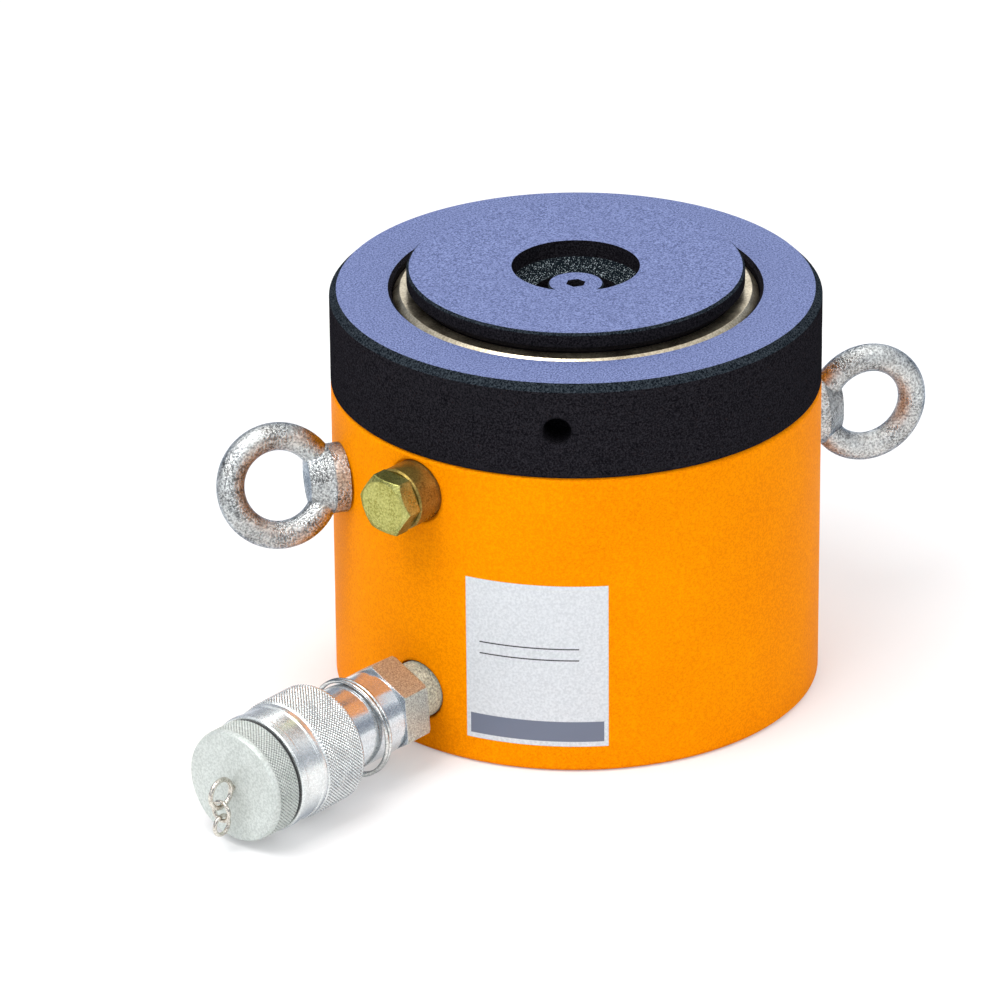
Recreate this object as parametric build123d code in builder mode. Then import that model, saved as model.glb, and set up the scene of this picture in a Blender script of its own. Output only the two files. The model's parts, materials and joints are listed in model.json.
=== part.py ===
"""Pancake lock nut cylinder: a flat single-acting jack with a threaded plunger, a lock nut
that runs down on it, a tilting saddle, two lifting eye bolts, an overflow port and a
quick coupler under a chained dust cap.

Millimetres. The origin is the centre of the base face, +Z is the stroke, and the eye bolts
lie on the X axis. Reaches are distances from the stroke axis.
"""

from build123d import *
from math import cos, radians, sin
import os

# Clearances
RUN_FIT = 0.05  # radial, guided sliding surfaces
THREAD_GAP = 0.3  # radial, threads modelled plain
SEAT_GAP = 0.3  # between curved seats
SCREW_GAP = 0.05  # radial, screws and spigots in their own holes
POCKET_GAP = 0.5  # radial, round a head or flange in its recess
EDGE = 1.0  # bevel on the large machined edges
SMALL_EDGE = 0.5  # bevel on small machined edges

# Cylinder body
BODY_R = 70.0
BODY_HEIGHT = 91.0
WALL = 17.5
BORE_FLOOR = 16.0
FLOOR_RELIEF = 2.0

# Plunger and its rings
PLUNGER_LIFT = 0.3  # the plunger's foot stands this far above the floor when retracted
PLUNGER_DROP = 0.6  # the plunger's top lies this far below the nut's
BARREL_STEP = 0.5  # radial, from the bore to the threaded barrel
THREAD_LEAD = 2.0
FOOT_HEIGHT = 24.2
FOOT_BEVEL = 3.0
GROOVE_LOW = 4.5  # of the seal groove, above the foot's underside
SEAL_HEIGHT = 5.4
BACKUP_HEIGHT = 2.4
SEAL_DEPTH = 5.0
GUIDE_RISE = 2.0  # from the seal groove to the guide ring's
GUIDE_HEIGHT = 6.0
GUIDE_DEPTH = 2.2
RING_SLACK = 0.1  # axial, a ring in its groove
LIP_NOTCH = 2.2

# Lock nut, as wide as the body
NUT_HEIGHT = 28.0
NUT_BEVEL = 2.0
TOMMY_R = 4.0
TOMMY_DEPTH = 12.0
TOMMY_MOUTH = 0.8  # bevel round the hole's mouth
TOMMY_ANGLE = -112.7
TOMMY_COUNT = 4

# Tilting saddle
SADDLE_RISE = 6.6  # above the plunger
SADDLE_STEP = 4.0  # radial, from the barrel to the saddle
SADDLE_EDGE = 0.7
DISH_RIM = 6.0  # radial, from the barrel to the dish's edge
TILT_RISE = 46.6  # the sphere's centre above the plunger
RECESS_R = 18.2
RECESS_DEPTH = 5.0
POCKET_R = 12.1
POCKET_LEAD = 2.9
POCKET_FLOOR = 12.5  # below the saddle's top
SADDLE_HOLE_R = 8.2

# Saddle screw and washer
HEAD_R = 8.0
HEAD_DROP = 5.4  # below the saddle's top
HEAD_HEIGHT = 5.0
SOCKET_AF = 5.0
SOCKET_DEPTH = 3.5
SHOULDER_R = 4.5
SADDLE_SCREW_R = 4.0
SADDLE_SCREW_LENGTH = 14.0
WASHER_R = 9.0
WASHER_THICK = 1.2

# Lifting eye bolts
EYE_DROP = 21.4  # below the body's top
EYE_REACH = 18.8  # from the body to the ring's centre
EYE_RING_R = 14.0
EYE_WIRE_R = 4.0
EYE_FLAT = 8.5  # the flat in the eye, from the ring's centre towards the collar
COLLAR_R = 10.0
COLLAR_THICK = 4.2
EYE_NECK = (7.0, 4.2)
EYE_SHANK_R = 4.0
EYE_SHANK_LENGTH = 12.5
LEFT_TWIST = 20.0

# Both ports lie on one bearing
PORT_ANGLE = -148.3

# Overflow port
OVERFLOW_DROP = 11.0  # below the body's top
OVERFLOW_SINK = 1.0  # the spot face's depth
OVERFLOW_SEAL_THICK = 1.2
ADAPTER_R = 8.9
ADAPTER_LENGTH = 7.5
SPIGOT_R = 5.0
SPIGOT_LENGTH = 7.0
ADAPTER_BORE_R = 2.5
PLUG_AF = 16.0
PLUG_HEAD = 6.0
PLUG_SHANK_R = 3.6
PLUG_SHANK_LENGTH = 7.0
PLUG_TURN = 26.0
VENT_R = 1.5

# Inlet port and nipple
COUPLER_Z = 18.0
INLET_SINK = 2.0  # the counterbore's depth
INLET_HOLE_R = 7.5
INLET_DEPTH = 11.0
OIL_WAY_R = 2.4
NIPPLE_R = 8.3
NIPPLE_LENGTH = 11.0
NIPPLE_SPIGOT_R = 6.6
NIPPLE_SPIGOT_LENGTH = 8.5
NIPPLE_BORE_R = 3.5

# Coupler body
COUPLER_AF = 24.0
COUPLER_HEX = 9.5
COUPLER_HEX_TURN = 34.5
HEX_GROOVE = 1.0
HEX_GROOVE_DEPTH = 0.7
NECK_STEP = 0.8  # radial, from the nose to the neck
NECK_LENGTH = 22.5
NOSE_R = 11.4
NOSE_LENGTH = 16.0
COUPLER_PASSAGE_R = 5.0
CHAMBER_R = 8.4
CHAMBER_LENGTH = 29.8
MOUTH_R = 6.2
MOUTH_LENGTH = 3.0
FACE_SEAL_R = 0.85
FACE_SEAL_BACK = 4.0  # the seal's centre behind the nose's face

# Knurled sleeve and its snap ring
SLEEVE_R = 17.3
SLEEVE_BAND_R = 16.9
SLEEVE_KNURL = 15.2
SLEEVE_LENGTH = 25.7
SLEEVE_BACK_WALL = 4.7
SLEEVE_WALL = 1.8
SLEEVE_GAP = 0.3  # axial, behind the sleeve
SNAP_RING_STEP = 1.8  # radial, over the nose
SNAP_RING_THICK = 1.4
SNAP_GROOVE_DEPTH = 1.0

# Poppet, its guide and its spring
POPPET_NOSE = 2.6
POPPET_FLANGE = 3.0
POPPET_STEM_R = 2.5
POPPET_STEM = 26.0
POPPET_RECESS = 0.4
GUIDE_DISC = 3.0
GUIDE_PORT_R = 1.6
GUIDE_PORT_CIRCLE = 5.3
GUIDE_PORT_COUNT = 4
SPRING_R = 6.1
SPRING_WIRE = 1.1
SPRING_TURNS = 5

# Dust cap, its gasket, eye and chain
CAP_RIM_R = 16.4
CAP_RIM = 7.8
CAP_FACE = 1.5
CAP_FACE_R = 15.9
CAP_PLUG = 9.7
CAP_NOSE_GAP = 0.6  # radial, the cap over the nose
CAP_WALL = 6.0
GASKET_THICK = 0.6
GASKET_R = 16.0
CAP_EYE_R = 4.1
CAP_EYE_REACH = 5.0  # from the cap's face to the eye's centre
CAP_EYE_WIRE_R = 0.7
CAP_STEM_R = 0.9
CAP_STEM_ROOT = 2.5
LINK_R = 2.8
LINK_WIRE_R = 0.6
LINK_GAP = 0.15

# Lanyard ring on the coupler's neck
LANYARD_SLACK = 1.8  # radial, from the neck to the wire's centre
LANYARD_WIRE_R = 0.65
lanyard_rEACH = 10.0  # from the hexagon's front
LANYARD_GAP = 0.3

# Places that follow from the sizes above
up = Vector(0, 0, 1)
port_out = Vector(cos(radians(PORT_ANGLE)), sin(radians(PORT_ANGLE)), 0)
port_side = port_out.cross(up)
coupler_axis = Axis((0, 0, COUPLER_Z), port_out)
overflow_z = BODY_HEIGHT - OVERFLOW_DROP
overflow_axis = Axis((0, 0, overflow_z), port_out)
eye_z = BODY_HEIGHT - EYE_DROP
bore_r = BODY_R - WALL
thread_r = bore_r - BARREL_STEP
foot_low = BORE_FLOOR + PLUNGER_LIFT
foot_r = bore_r - RUN_FIT
foot_top = foot_low + FOOT_HEIGHT
nut_bore_r = thread_r + THREAD_GAP
nut_top = BODY_HEIGHT + NUT_HEIGHT
plunger_top = nut_top - PLUNGER_DROP
saddle_r = thread_r - SADDLE_STEP
saddle_top = plunger_top + SADDLE_RISE
tilt_centre = plunger_top + TILT_RISE
dish_r = ((thread_r - DISH_RIM) ** 2 + TILT_RISE**2) ** 0.5
dish_low = tilt_centre - dish_r
head_top = saddle_top - HEAD_DROP
washer_top = head_top - HEAD_HEIGHT
overflow_seat = BODY_R - OVERFLOW_SINK
inlet_seat = BODY_R - INLET_SINK
nipple_face = inlet_seat + NIPPLE_LENGTH
hex_front = nipple_face + COUPLER_HEX
neck_end = hex_front + NECK_LENGTH
neck_r = NOSE_R + NECK_STEP
nose_end = neck_end + NOSE_LENGTH
chamber_front = nose_end - MOUTH_LENGTH - (CHAMBER_R - MOUTH_R)
chamber_back = chamber_front - CHAMBER_LENGTH
sleeve_back = neck_end + SLEEVE_GAP
sleeve_front = sleeve_back + SLEEVE_LENGTH
sleeve_cavity_r = SLEEVE_R - SLEEVE_WALL
snap_ring_r = NOSE_R + SNAP_RING_STEP
snap_back = sleeve_back + SLEEVE_BACK_WALL + SLEEVE_GAP
poppet_face = nose_end - POPPET_RECESS
rim_back = sleeve_front + GASKET_THICK + LINK_GAP
cap_front = rim_back + CAP_RIM + CAP_FACE
cap_hollow_r = NOSE_R + CAP_NOSE_GAP
lanyard_r = neck_r + LANYARD_SLACK


def port_section(height):
    """Upright plane through a port's axis: x is the reach, y the height over the axis."""
    return Plane(origin=(0, 0, height), x_dir=port_out, z_dir=port_side)


def port_cross(height, reach):
    """Plane across a port's axis at a reach, facing outward, with x level."""
    return Plane(origin=port_out * reach + up * height, x_dir=port_side, z_dir=port_out)


def outline(plane, *corners):
    """Closed profile through the corners, on a plane."""
    with BuildSketch(plane) as profile:
        with BuildLine():
            Polyline(*corners, close=True)
        make_face()
    return profile.sketch


def save(part, name):
    """Label a finished piece and write its file."""
    part.label = name
    export_step(part, f"parts/{name}.step")


os.makedirs("parts", exist_ok=True)

# Eye bolt frames: x lies in the ring's plane, z along the bolt
eye_frames = {
    "eye_bolt_right": Plane(origin=(0, 0, eye_z), x_dir=(0, 0, 1), z_dir=(1, 0, 0)),
    "eye_bolt_left": Plane(
        origin=(0, 0, eye_z),
        x_dir=(0, sin(radians(LEFT_TWIST)), cos(radians(LEFT_TWIST))),
        z_dir=(-1, 0, 0),
    ),
}

# Cylinder body: a thick cup with its ports and eye bolt holes
with BuildPart() as cylinder_body:
    revolve(
        outline(
            Plane.XZ,
            (0, 0),
            (BODY_R - EDGE, 0),
            (BODY_R, EDGE),
            (BODY_R, BODY_HEIGHT - EDGE),
            (BODY_R - EDGE, BODY_HEIGHT),
            (bore_r + EDGE, BODY_HEIGHT),
            (bore_r, BODY_HEIGHT - EDGE),
            (bore_r, BORE_FLOOR + FLOOR_RELIEF),
            (bore_r - FLOOR_RELIEF, BORE_FLOOR),
            (0, BORE_FLOOR),
        ),
        axis=Axis.Z,
    )
    # Inlet: counterbore, tapped hole and oil way into the foot of the chamber
    revolve(
        outline(
            port_section(COUPLER_Z),
            (BODY_R + EDGE, 0),
            (BODY_R + EDGE, NIPPLE_R + POCKET_GAP),
            (inlet_seat, NIPPLE_R + POCKET_GAP),
            (inlet_seat, INLET_HOLE_R),
            (inlet_seat - INLET_DEPTH, INLET_HOLE_R),
            (inlet_seat - INLET_DEPTH, OIL_WAY_R),
            (bore_r - FLOOR_RELIEF - EDGE, OIL_WAY_R),
            (bore_r - FLOOR_RELIEF - EDGE, 0),
        ),
        axis=coupler_axis,
        mode=Mode.SUBTRACT,
    )
    # Overflow: spot face, tapped hole and vent into the bore
    revolve(
        outline(
            port_section(overflow_z),
            (BODY_R + EDGE, 0),
            (BODY_R + EDGE, ADAPTER_R + POCKET_GAP),
            (overflow_seat, ADAPTER_R + POCKET_GAP),
            (overflow_seat, SPIGOT_R + SCREW_GAP),
            (overflow_seat - SPIGOT_LENGTH - EDGE, SPIGOT_R + SCREW_GAP),
            (overflow_seat - SPIGOT_LENGTH - EDGE, VENT_R),
            (bore_r - EDGE, VENT_R),
            (bore_r - EDGE, 0),
        ),
        axis=overflow_axis,
        mode=Mode.SUBTRACT,
    )
    # Eye bolt holes
    for frame in eye_frames.values():
        with BuildSketch(frame.offset(BODY_R - EYE_SHANK_LENGTH - EDGE)):
            Circle(EYE_SHANK_R + SCREW_GAP)
        extrude(amount=EYE_SHANK_LENGTH + 2 * EDGE, mode=Mode.SUBTRACT)
save(cylinder_body.part, "cylinder_body")

# Plunger: guided foot with ring grooves, threaded barrel and spherical dish
groove_low = foot_low + GROOVE_LOW
groove_top = groove_low + SEAL_HEIGHT + BACKUP_HEIGHT + 2 * RING_SLACK
guide_low = groove_top + GUIDE_RISE
guide_top = guide_low + GUIDE_HEIGHT + RING_SLACK
with BuildPart() as plunger:
    revolve(
        outline(
            Plane.XZ,
            (0, foot_low),
            (foot_r - FOOT_BEVEL, foot_low),
            (foot_r, foot_low + FOOT_BEVEL),
            (foot_r, groove_low),
            (foot_r - SEAL_DEPTH, groove_low),
            (foot_r - SEAL_DEPTH, groove_top),
            (foot_r, groove_top),
            (foot_r, guide_low),
            (foot_r - GUIDE_DEPTH, guide_low),
            (foot_r - GUIDE_DEPTH, guide_top),
            (foot_r, guide_top),
            (foot_r, foot_top),
            (thread_r, foot_top + BARREL_STEP),
            (thread_r, plunger_top - THREAD_LEAD),
            (thread_r - THREAD_LEAD, plunger_top),
            (0, plunger_top),
        ),
        axis=Axis.Z,
    )
    with Locations((0, 0, tilt_centre)):
        Sphere(dish_r, mode=Mode.SUBTRACT)
    with BuildSketch(Plane.XY.offset(dish_low - SADDLE_SCREW_LENGTH - EDGE)):
        Circle(SADDLE_SCREW_R + SCREW_GAP)
    extrude(amount=SADDLE_SCREW_LENGTH + 2 * EDGE, mode=Mode.SUBTRACT)
save(plunger.part, "plunger")

# Rings in the plunger's grooves
seal_in = foot_r - SEAL_DEPTH + SCREW_GAP
with BuildPart() as piston_seal:
    revolve(
        outline(
            Plane.XZ,
            (seal_in, groove_low + RING_SLACK),
            (seal_in, groove_low + RING_SLACK + SEAL_HEIGHT),
            (foot_r, groove_low + RING_SLACK + SEAL_HEIGHT),
            (foot_r, groove_low + RING_SLACK),
            (foot_r - EDGE, groove_low + RING_SLACK),
            ((seal_in + foot_r) / 2, groove_low + RING_SLACK + LIP_NOTCH),
            (seal_in + EDGE, groove_low + RING_SLACK),
        ),
        axis=Axis.Z,
    )
save(piston_seal.part, "piston_seal")

with BuildPart() as backup_ring:
    with BuildSketch(Plane.XY.offset(groove_top - BACKUP_HEIGHT)):
        Circle(foot_r)
        Circle(seal_in, mode=Mode.SUBTRACT)
    extrude(amount=BACKUP_HEIGHT)
save(backup_ring.part, "backup_ring")

with BuildPart() as guide_ring:
    with BuildSketch(Plane.XY.offset(guide_low)):
        Circle(foot_r)
        Circle(foot_r - GUIDE_DEPTH + SCREW_GAP, mode=Mode.SUBTRACT)
    extrude(amount=GUIDE_HEIGHT)
save(guide_ring.part, "guide_ring")

# Lock nut, seated on the body, with holes for a tommy bar
tommy_angles = [TOMMY_ANGLE + 360 / TOMMY_COUNT * i for i in range(TOMMY_COUNT)]
with BuildPart() as lock_nut:
    revolve(
        outline(
            Plane.XZ,
            (nut_bore_r + EDGE, BODY_HEIGHT),
            (BODY_R - SMALL_EDGE, BODY_HEIGHT),
            (BODY_R, BODY_HEIGHT + SMALL_EDGE),
            (BODY_R, nut_top - NUT_BEVEL),
            (BODY_R - NUT_BEVEL, nut_top),
            (nut_bore_r + EDGE, nut_top),
            (nut_bore_r, nut_top - EDGE),
            (nut_bore_r, BODY_HEIGHT + EDGE),
        ),
        axis=Axis.Z,
    )
    for angle in tommy_angles:
        outward = Vector(cos(radians(angle)), sin(radians(angle)), 0)
        middle = up * (BODY_HEIGHT + NUT_HEIGHT / 2)
        revolve(
            outline(
                Plane(origin=middle, x_dir=outward, z_dir=outward.cross(up)),
                (BODY_R - TOMMY_DEPTH, 0),
                (BODY_R - TOMMY_DEPTH, TOMMY_R),
                (BODY_R - TOMMY_MOUTH, TOMMY_R),
                (BODY_R + EDGE, TOMMY_R + TOMMY_MOUTH + EDGE),
                (BODY_R + EDGE, 0),
            ),
            axis=Axis(middle, outward),
            mode=Mode.SUBTRACT,
        )
save(lock_nut.part, "lock_nut")

# Saddle: a disc with a spherical underside and a stepped centre
pocket_floor = saddle_top - POCKET_FLOOR
with BuildPart() as saddle:
    revolve(
        outline(
            Plane.XZ,
            (SADDLE_HOLE_R, dish_low),
            (saddle_r, dish_low),
            (saddle_r, saddle_top - SADDLE_EDGE),
            (saddle_r - SADDLE_EDGE, saddle_top),
            (RECESS_R, saddle_top),
            (RECESS_R, saddle_top - RECESS_DEPTH),
            (POCKET_R, saddle_top - RECESS_DEPTH - POCKET_LEAD),
            (POCKET_R, pocket_floor),
            (SADDLE_HOLE_R, pocket_floor),
        ),
        axis=Axis.Z,
    )
    with Locations((0, 0, tilt_centre)):
        Sphere(dish_r - SEAT_GAP, mode=Mode.INTERSECT)
save(saddle.part, "saddle")

with BuildPart() as saddle_washer:
    with BuildSketch(Plane.XY.offset(washer_top - WASHER_THICK)):
        Circle(WASHER_R)
        Circle(SADDLE_SCREW_R + SCREW_GAP, mode=Mode.SUBTRACT)
    extrude(amount=WASHER_THICK)
save(saddle_washer.part, "saddle_washer")

with BuildPart() as saddle_screw:
    revolve(
        outline(
            Plane.XZ,
            (0, dish_low - SADDLE_SCREW_LENGTH),
            (SADDLE_SCREW_R, dish_low - SADDLE_SCREW_LENGTH),
            (SADDLE_SCREW_R, dish_low + SMALL_EDGE),
            (SHOULDER_R, dish_low + SMALL_EDGE),
            (SHOULDER_R, washer_top - WASHER_THICK),
            (SADDLE_SCREW_R, washer_top - WASHER_THICK),
            (SADDLE_SCREW_R, washer_top),
            (HEAD_R, washer_top),
            (HEAD_R, head_top - SMALL_EDGE),
            (HEAD_R - SMALL_EDGE, head_top),
            (0, head_top),
        ),
        axis=Axis.Z,
    )
    with BuildSketch(Plane.XY.offset(head_top - SOCKET_DEPTH)):
        RegularPolygon(SOCKET_AF / 2, 6, major_radius=False)
    extrude(amount=SOCKET_DEPTH, mode=Mode.SUBTRACT)
save(saddle_screw.part, "saddle_screw")

# Eye bolts: ring, flared neck, collar and shank
eye_centre = BODY_R + EYE_REACH
for name, frame in eye_frames.items():
    ring_frame = Plane(origin=frame.offset(eye_centre).origin, x_dir=frame.x_dir, z_dir=frame.y_dir)
    with BuildPart() as eye_bolt:
        with BuildSketch(frame.offset(BODY_R)):
            Circle(COLLAR_R)
        extrude(amount=COLLAR_THICK)
        with BuildSketch(frame.offset(BODY_R + COLLAR_THICK)):
            Circle(COLLAR_R - SMALL_EDGE)
        with BuildSketch(frame.offset(eye_centre - EYE_FLAT)):
            Ellipse(*EYE_NECK)
        loft()
        with Locations(ring_frame):
            Torus(EYE_RING_R, EYE_WIRE_R)
        with BuildSketch(frame.offset(BODY_R - EYE_SHANK_LENGTH)):
            Circle(EYE_SHANK_R)
        extrude(amount=EYE_SHANK_LENGTH)
    save(eye_bolt.part, name)

# Overflow port: sealing washer, adapter and hexagon plug
seal_front = overflow_seat + OVERFLOW_SEAL_THICK
adapter_front = seal_front + ADAPTER_LENGTH
with BuildPart() as overflow_seal:
    with BuildSketch(port_cross(overflow_z, overflow_seat)):
        Circle(ADAPTER_R)
        Circle(SPIGOT_R + SCREW_GAP, mode=Mode.SUBTRACT)
    extrude(amount=OVERFLOW_SEAL_THICK)
save(overflow_seal.part, "overflow_seal")

with BuildPart() as overflow_adapter:
    revolve(
        outline(
            port_section(overflow_z),
            (overflow_seat - SPIGOT_LENGTH, ADAPTER_BORE_R),
            (overflow_seat - SPIGOT_LENGTH, SPIGOT_R),
            (seal_front, SPIGOT_R),
            (seal_front, ADAPTER_R),
            (adapter_front - SMALL_EDGE, ADAPTER_R),
            (adapter_front, ADAPTER_R - SMALL_EDGE),
            (adapter_front, PLUG_SHANK_R + SCREW_GAP),
            (adapter_front - PLUG_SHANK_LENGTH - SMALL_EDGE, PLUG_SHANK_R + SCREW_GAP),
            (adapter_front - PLUG_SHANK_LENGTH - EDGE, ADAPTER_BORE_R),
        ),
        axis=overflow_axis,
    )
save(overflow_adapter.part, "overflow_adapter")

plug_corner_r = PLUG_AF / 2 / cos(radians(30))
with BuildPart() as overflow_plug:
    with BuildSketch(port_cross(overflow_z, adapter_front)):
        RegularPolygon(PLUG_AF / 2, 6, major_radius=False, rotation=PLUG_TURN)
    extrude(amount=PLUG_HEAD)
    revolve(
        outline(
            port_section(overflow_z),
            (adapter_front, 0),
            (adapter_front, plug_corner_r),
            (adapter_front + PLUG_HEAD - EDGE, plug_corner_r),
            (adapter_front + PLUG_HEAD, plug_corner_r - 2 * EDGE),
            (adapter_front + PLUG_HEAD, 0),
        ),
        axis=overflow_axis,
        mode=Mode.INTERSECT,
    )
    with BuildSketch(port_cross(overflow_z, adapter_front - PLUG_SHANK_LENGTH)):
        Circle(PLUG_SHANK_R)
    extrude(amount=PLUG_SHANK_LENGTH)
save(overflow_plug.part, "overflow_plug")

# Inlet nipple
with BuildPart() as port_nipple:
    revolve(
        outline(
            port_section(COUPLER_Z),
            (inlet_seat - INLET_DEPTH + EDGE, NIPPLE_BORE_R),
            (inlet_seat - INLET_DEPTH + EDGE, INLET_HOLE_R - SCREW_GAP),
            (inlet_seat, INLET_HOLE_R - SCREW_GAP),
            (inlet_seat, NIPPLE_R),
            (nipple_face, NIPPLE_R),
            (nipple_face, NIPPLE_SPIGOT_R),
            (nipple_face + NIPPLE_SPIGOT_LENGTH, NIPPLE_SPIGOT_R),
            (nipple_face + NIPPLE_SPIGOT_LENGTH, NIPPLE_BORE_R),
        ),
        axis=coupler_axis,
    )
save(port_nipple.part, "port_nipple")

# Coupler body: hexagon, polished neck, nose and valve chamber
hex_corner_r = COUPLER_AF / 2 / cos(radians(30))
seal_reach = nose_end - FACE_SEAL_BACK
with BuildPart() as coupler_body:
    with BuildSketch(port_cross(COUPLER_Z, nipple_face)):
        RegularPolygon(COUPLER_AF / 2, 6, major_radius=False, rotation=COUPLER_HEX_TURN)
    extrude(amount=COUPLER_HEX)
    revolve(
        outline(
            port_section(COUPLER_Z),
            (nipple_face, 0),
            (nipple_face, hex_corner_r - SMALL_EDGE),
            (nipple_face + SMALL_EDGE, hex_corner_r),
            (hex_front - SMALL_EDGE, hex_corner_r),
            (hex_front, hex_corner_r - SMALL_EDGE),
            (hex_front, 0),
        ),
        axis=coupler_axis,
        mode=Mode.INTERSECT,
    )
    revolve(
        outline(
            port_section(COUPLER_Z),
            (nipple_face + EDGE, 0),
            (nipple_face + EDGE, neck_r - HEX_GROOVE_DEPTH),
            (hex_front + HEX_GROOVE, neck_r - HEX_GROOVE_DEPTH),
            (hex_front + HEX_GROOVE, neck_r),
            (neck_end, neck_r),
            (neck_end, NOSE_R),
            (snap_back, NOSE_R),
            (snap_back, NOSE_R - SNAP_GROOVE_DEPTH),
            (snap_back + SNAP_RING_THICK, NOSE_R - SNAP_GROOVE_DEPTH),
            (snap_back + SNAP_RING_THICK, NOSE_R),
            (seal_reach - FACE_SEAL_R, NOSE_R),
            (seal_reach - FACE_SEAL_R, NOSE_R - FACE_SEAL_R),
            (seal_reach + FACE_SEAL_R, NOSE_R - FACE_SEAL_R),
            (seal_reach + FACE_SEAL_R, NOSE_R),
            (nose_end - SMALL_EDGE, NOSE_R),
            (nose_end, NOSE_R - SMALL_EDGE),
            (nose_end, 0),
        ),
        axis=coupler_axis,
    )
    revolve(
        outline(
            port_section(COUPLER_Z),
            (nipple_face, 0),
            (nipple_face, NIPPLE_SPIGOT_R + SCREW_GAP),
            (nipple_face + NIPPLE_SPIGOT_LENGTH + SMALL_EDGE, NIPPLE_SPIGOT_R + SCREW_GAP),
            (nipple_face + NIPPLE_SPIGOT_LENGTH + SMALL_EDGE, COUPLER_PASSAGE_R),
            (chamber_back, COUPLER_PASSAGE_R),
            (chamber_back, CHAMBER_R),
            (chamber_front, CHAMBER_R),
            (nose_end - MOUTH_LENGTH, MOUTH_R),
            (nose_end, MOUTH_R),
            (nose_end, 0),
        ),
        axis=coupler_axis,
        mode=Mode.SUBTRACT,
    )
save(coupler_body.part, "coupler_body")

with BuildPart() as coupler_seal:
    with Locations(port_cross(COUPLER_Z, seal_reach)):
        Torus(NOSE_R + SCREW_GAP, FACE_SEAL_R - SCREW_GAP)
save(coupler_seal.part, "coupler_seal")

# Knurled sleeve, held on the nose by a snap ring
cavity_back = sleeve_back + SLEEVE_BACK_WALL
with BuildPart() as coupler_sleeve:
    revolve(
        outline(
            port_section(COUPLER_Z),
            (sleeve_back, NOSE_R + RUN_FIT),
            (sleeve_back, SLEEVE_R - EDGE),
            (sleeve_back + EDGE, SLEEVE_R),
            (sleeve_back + SLEEVE_KNURL, SLEEVE_R),
            (sleeve_back + SLEEVE_KNURL + SMALL_EDGE, SLEEVE_BAND_R),
            (sleeve_front - SMALL_EDGE, SLEEVE_BAND_R),
            (sleeve_front, SLEEVE_BAND_R - SMALL_EDGE),
            (sleeve_front, sleeve_cavity_r),
            (cavity_back, sleeve_cavity_r),
            (cavity_back, NOSE_R + RUN_FIT),
        ),
        axis=coupler_axis,
    )
save(coupler_sleeve.part, "coupler_sleeve")

with BuildPart() as sleeve_snap_ring:
    with BuildSketch(port_cross(COUPLER_Z, snap_back + SCREW_GAP)):
        Circle(snap_ring_r)
        Circle(NOSE_R - SNAP_GROOVE_DEPTH + SCREW_GAP, mode=Mode.SUBTRACT)
    extrude(amount=SNAP_RING_THICK - 2 * SCREW_GAP)
save(sleeve_snap_ring.part, "sleeve_snap_ring")

# Poppet: nose in the mouth, sealing cone, flange and guided stem
poppet_nose_r = MOUTH_R - SEAT_GAP
flange_r = CHAMBER_R - SEAT_GAP
cone_front = poppet_face - POPPET_NOSE
cone_back = cone_front - (flange_r - poppet_nose_r)
stem_front = cone_back - POPPET_FLANGE
with BuildPart() as coupler_poppet:
    revolve(
        outline(
            port_section(COUPLER_Z),
            (poppet_face, 0),
            (poppet_face, poppet_nose_r - SMALL_EDGE),
            (poppet_face - SMALL_EDGE, poppet_nose_r),
            (cone_front, poppet_nose_r),
            (cone_back, flange_r),
            (stem_front, flange_r),
            (stem_front, POPPET_STEM_R),
            (stem_front - POPPET_STEM, POPPET_STEM_R),
            (stem_front - POPPET_STEM, 0),
        ),
        axis=coupler_axis,
    )
save(coupler_poppet.part, "coupler_poppet")

with BuildPart() as poppet_guide:
    with BuildSketch(port_cross(COUPLER_Z, chamber_back)):
        Circle(CHAMBER_R - SCREW_GAP)
        Circle(POPPET_STEM_R + RUN_FIT, mode=Mode.SUBTRACT)
        with PolarLocations(GUIDE_PORT_CIRCLE, GUIDE_PORT_COUNT):
            Circle(GUIDE_PORT_R, mode=Mode.SUBTRACT)
    extrude(amount=GUIDE_DISC)
save(poppet_guide.part, "poppet_guide")

# Poppet spring: square wire, from the guide to the flange
spring_back = chamber_back + GUIDE_DISC + SPRING_WIRE / 2 + RING_SLACK
spring_length = stem_front - SPRING_WIRE / 2 - RING_SLACK - spring_back
spring_start = port_cross(COUPLER_Z, spring_back)
with BuildPart() as poppet_spring:
    with BuildLine() as coil:
        Helix(
            spring_length / SPRING_TURNS,
            spring_length,
            SPRING_R,
            center=spring_start.origin,
            direction=port_out,
        )
    with BuildSketch(Plane(origin=coil.line @ 0, z_dir=coil.line % 0)):
        Rectangle(SPRING_WIRE, SPRING_WIRE)
    sweep(is_frenet=True)
save(poppet_spring.part, "poppet_spring")

# Dust cap: hollow plug in the sleeve, rim and flat face
plug_back = rim_back - CAP_PLUG
with BuildPart() as dust_cap:
    revolve(
        outline(
            port_section(COUPLER_Z),
            (plug_back, cap_hollow_r),
            (plug_back, sleeve_cavity_r - THREAD_GAP - SMALL_EDGE),
            (plug_back + SMALL_EDGE, sleeve_cavity_r - THREAD_GAP),
            (rim_back, sleeve_cavity_r - THREAD_GAP),
            (rim_back, CAP_RIM_R - SMALL_EDGE),
            (rim_back + SMALL_EDGE, CAP_RIM_R),
            (rim_back + CAP_RIM, CAP_RIM_R),
            (cap_front, CAP_FACE_R),
            (cap_front, 0),
            (cap_front - CAP_WALL, 0),
            (cap_front - CAP_WALL, cap_hollow_r),
        ),
        axis=coupler_axis,
    )
    # Blind hole for the wire eye's stem
    with BuildSketch(port_cross(COUPLER_Z, cap_front - CAP_STEM_ROOT - SCREW_GAP)):
        Circle(CAP_STEM_R + SCREW_GAP)
    extrude(amount=CAP_STEM_ROOT + EDGE, mode=Mode.SUBTRACT)
save(dust_cap.part, "dust_cap")

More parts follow.
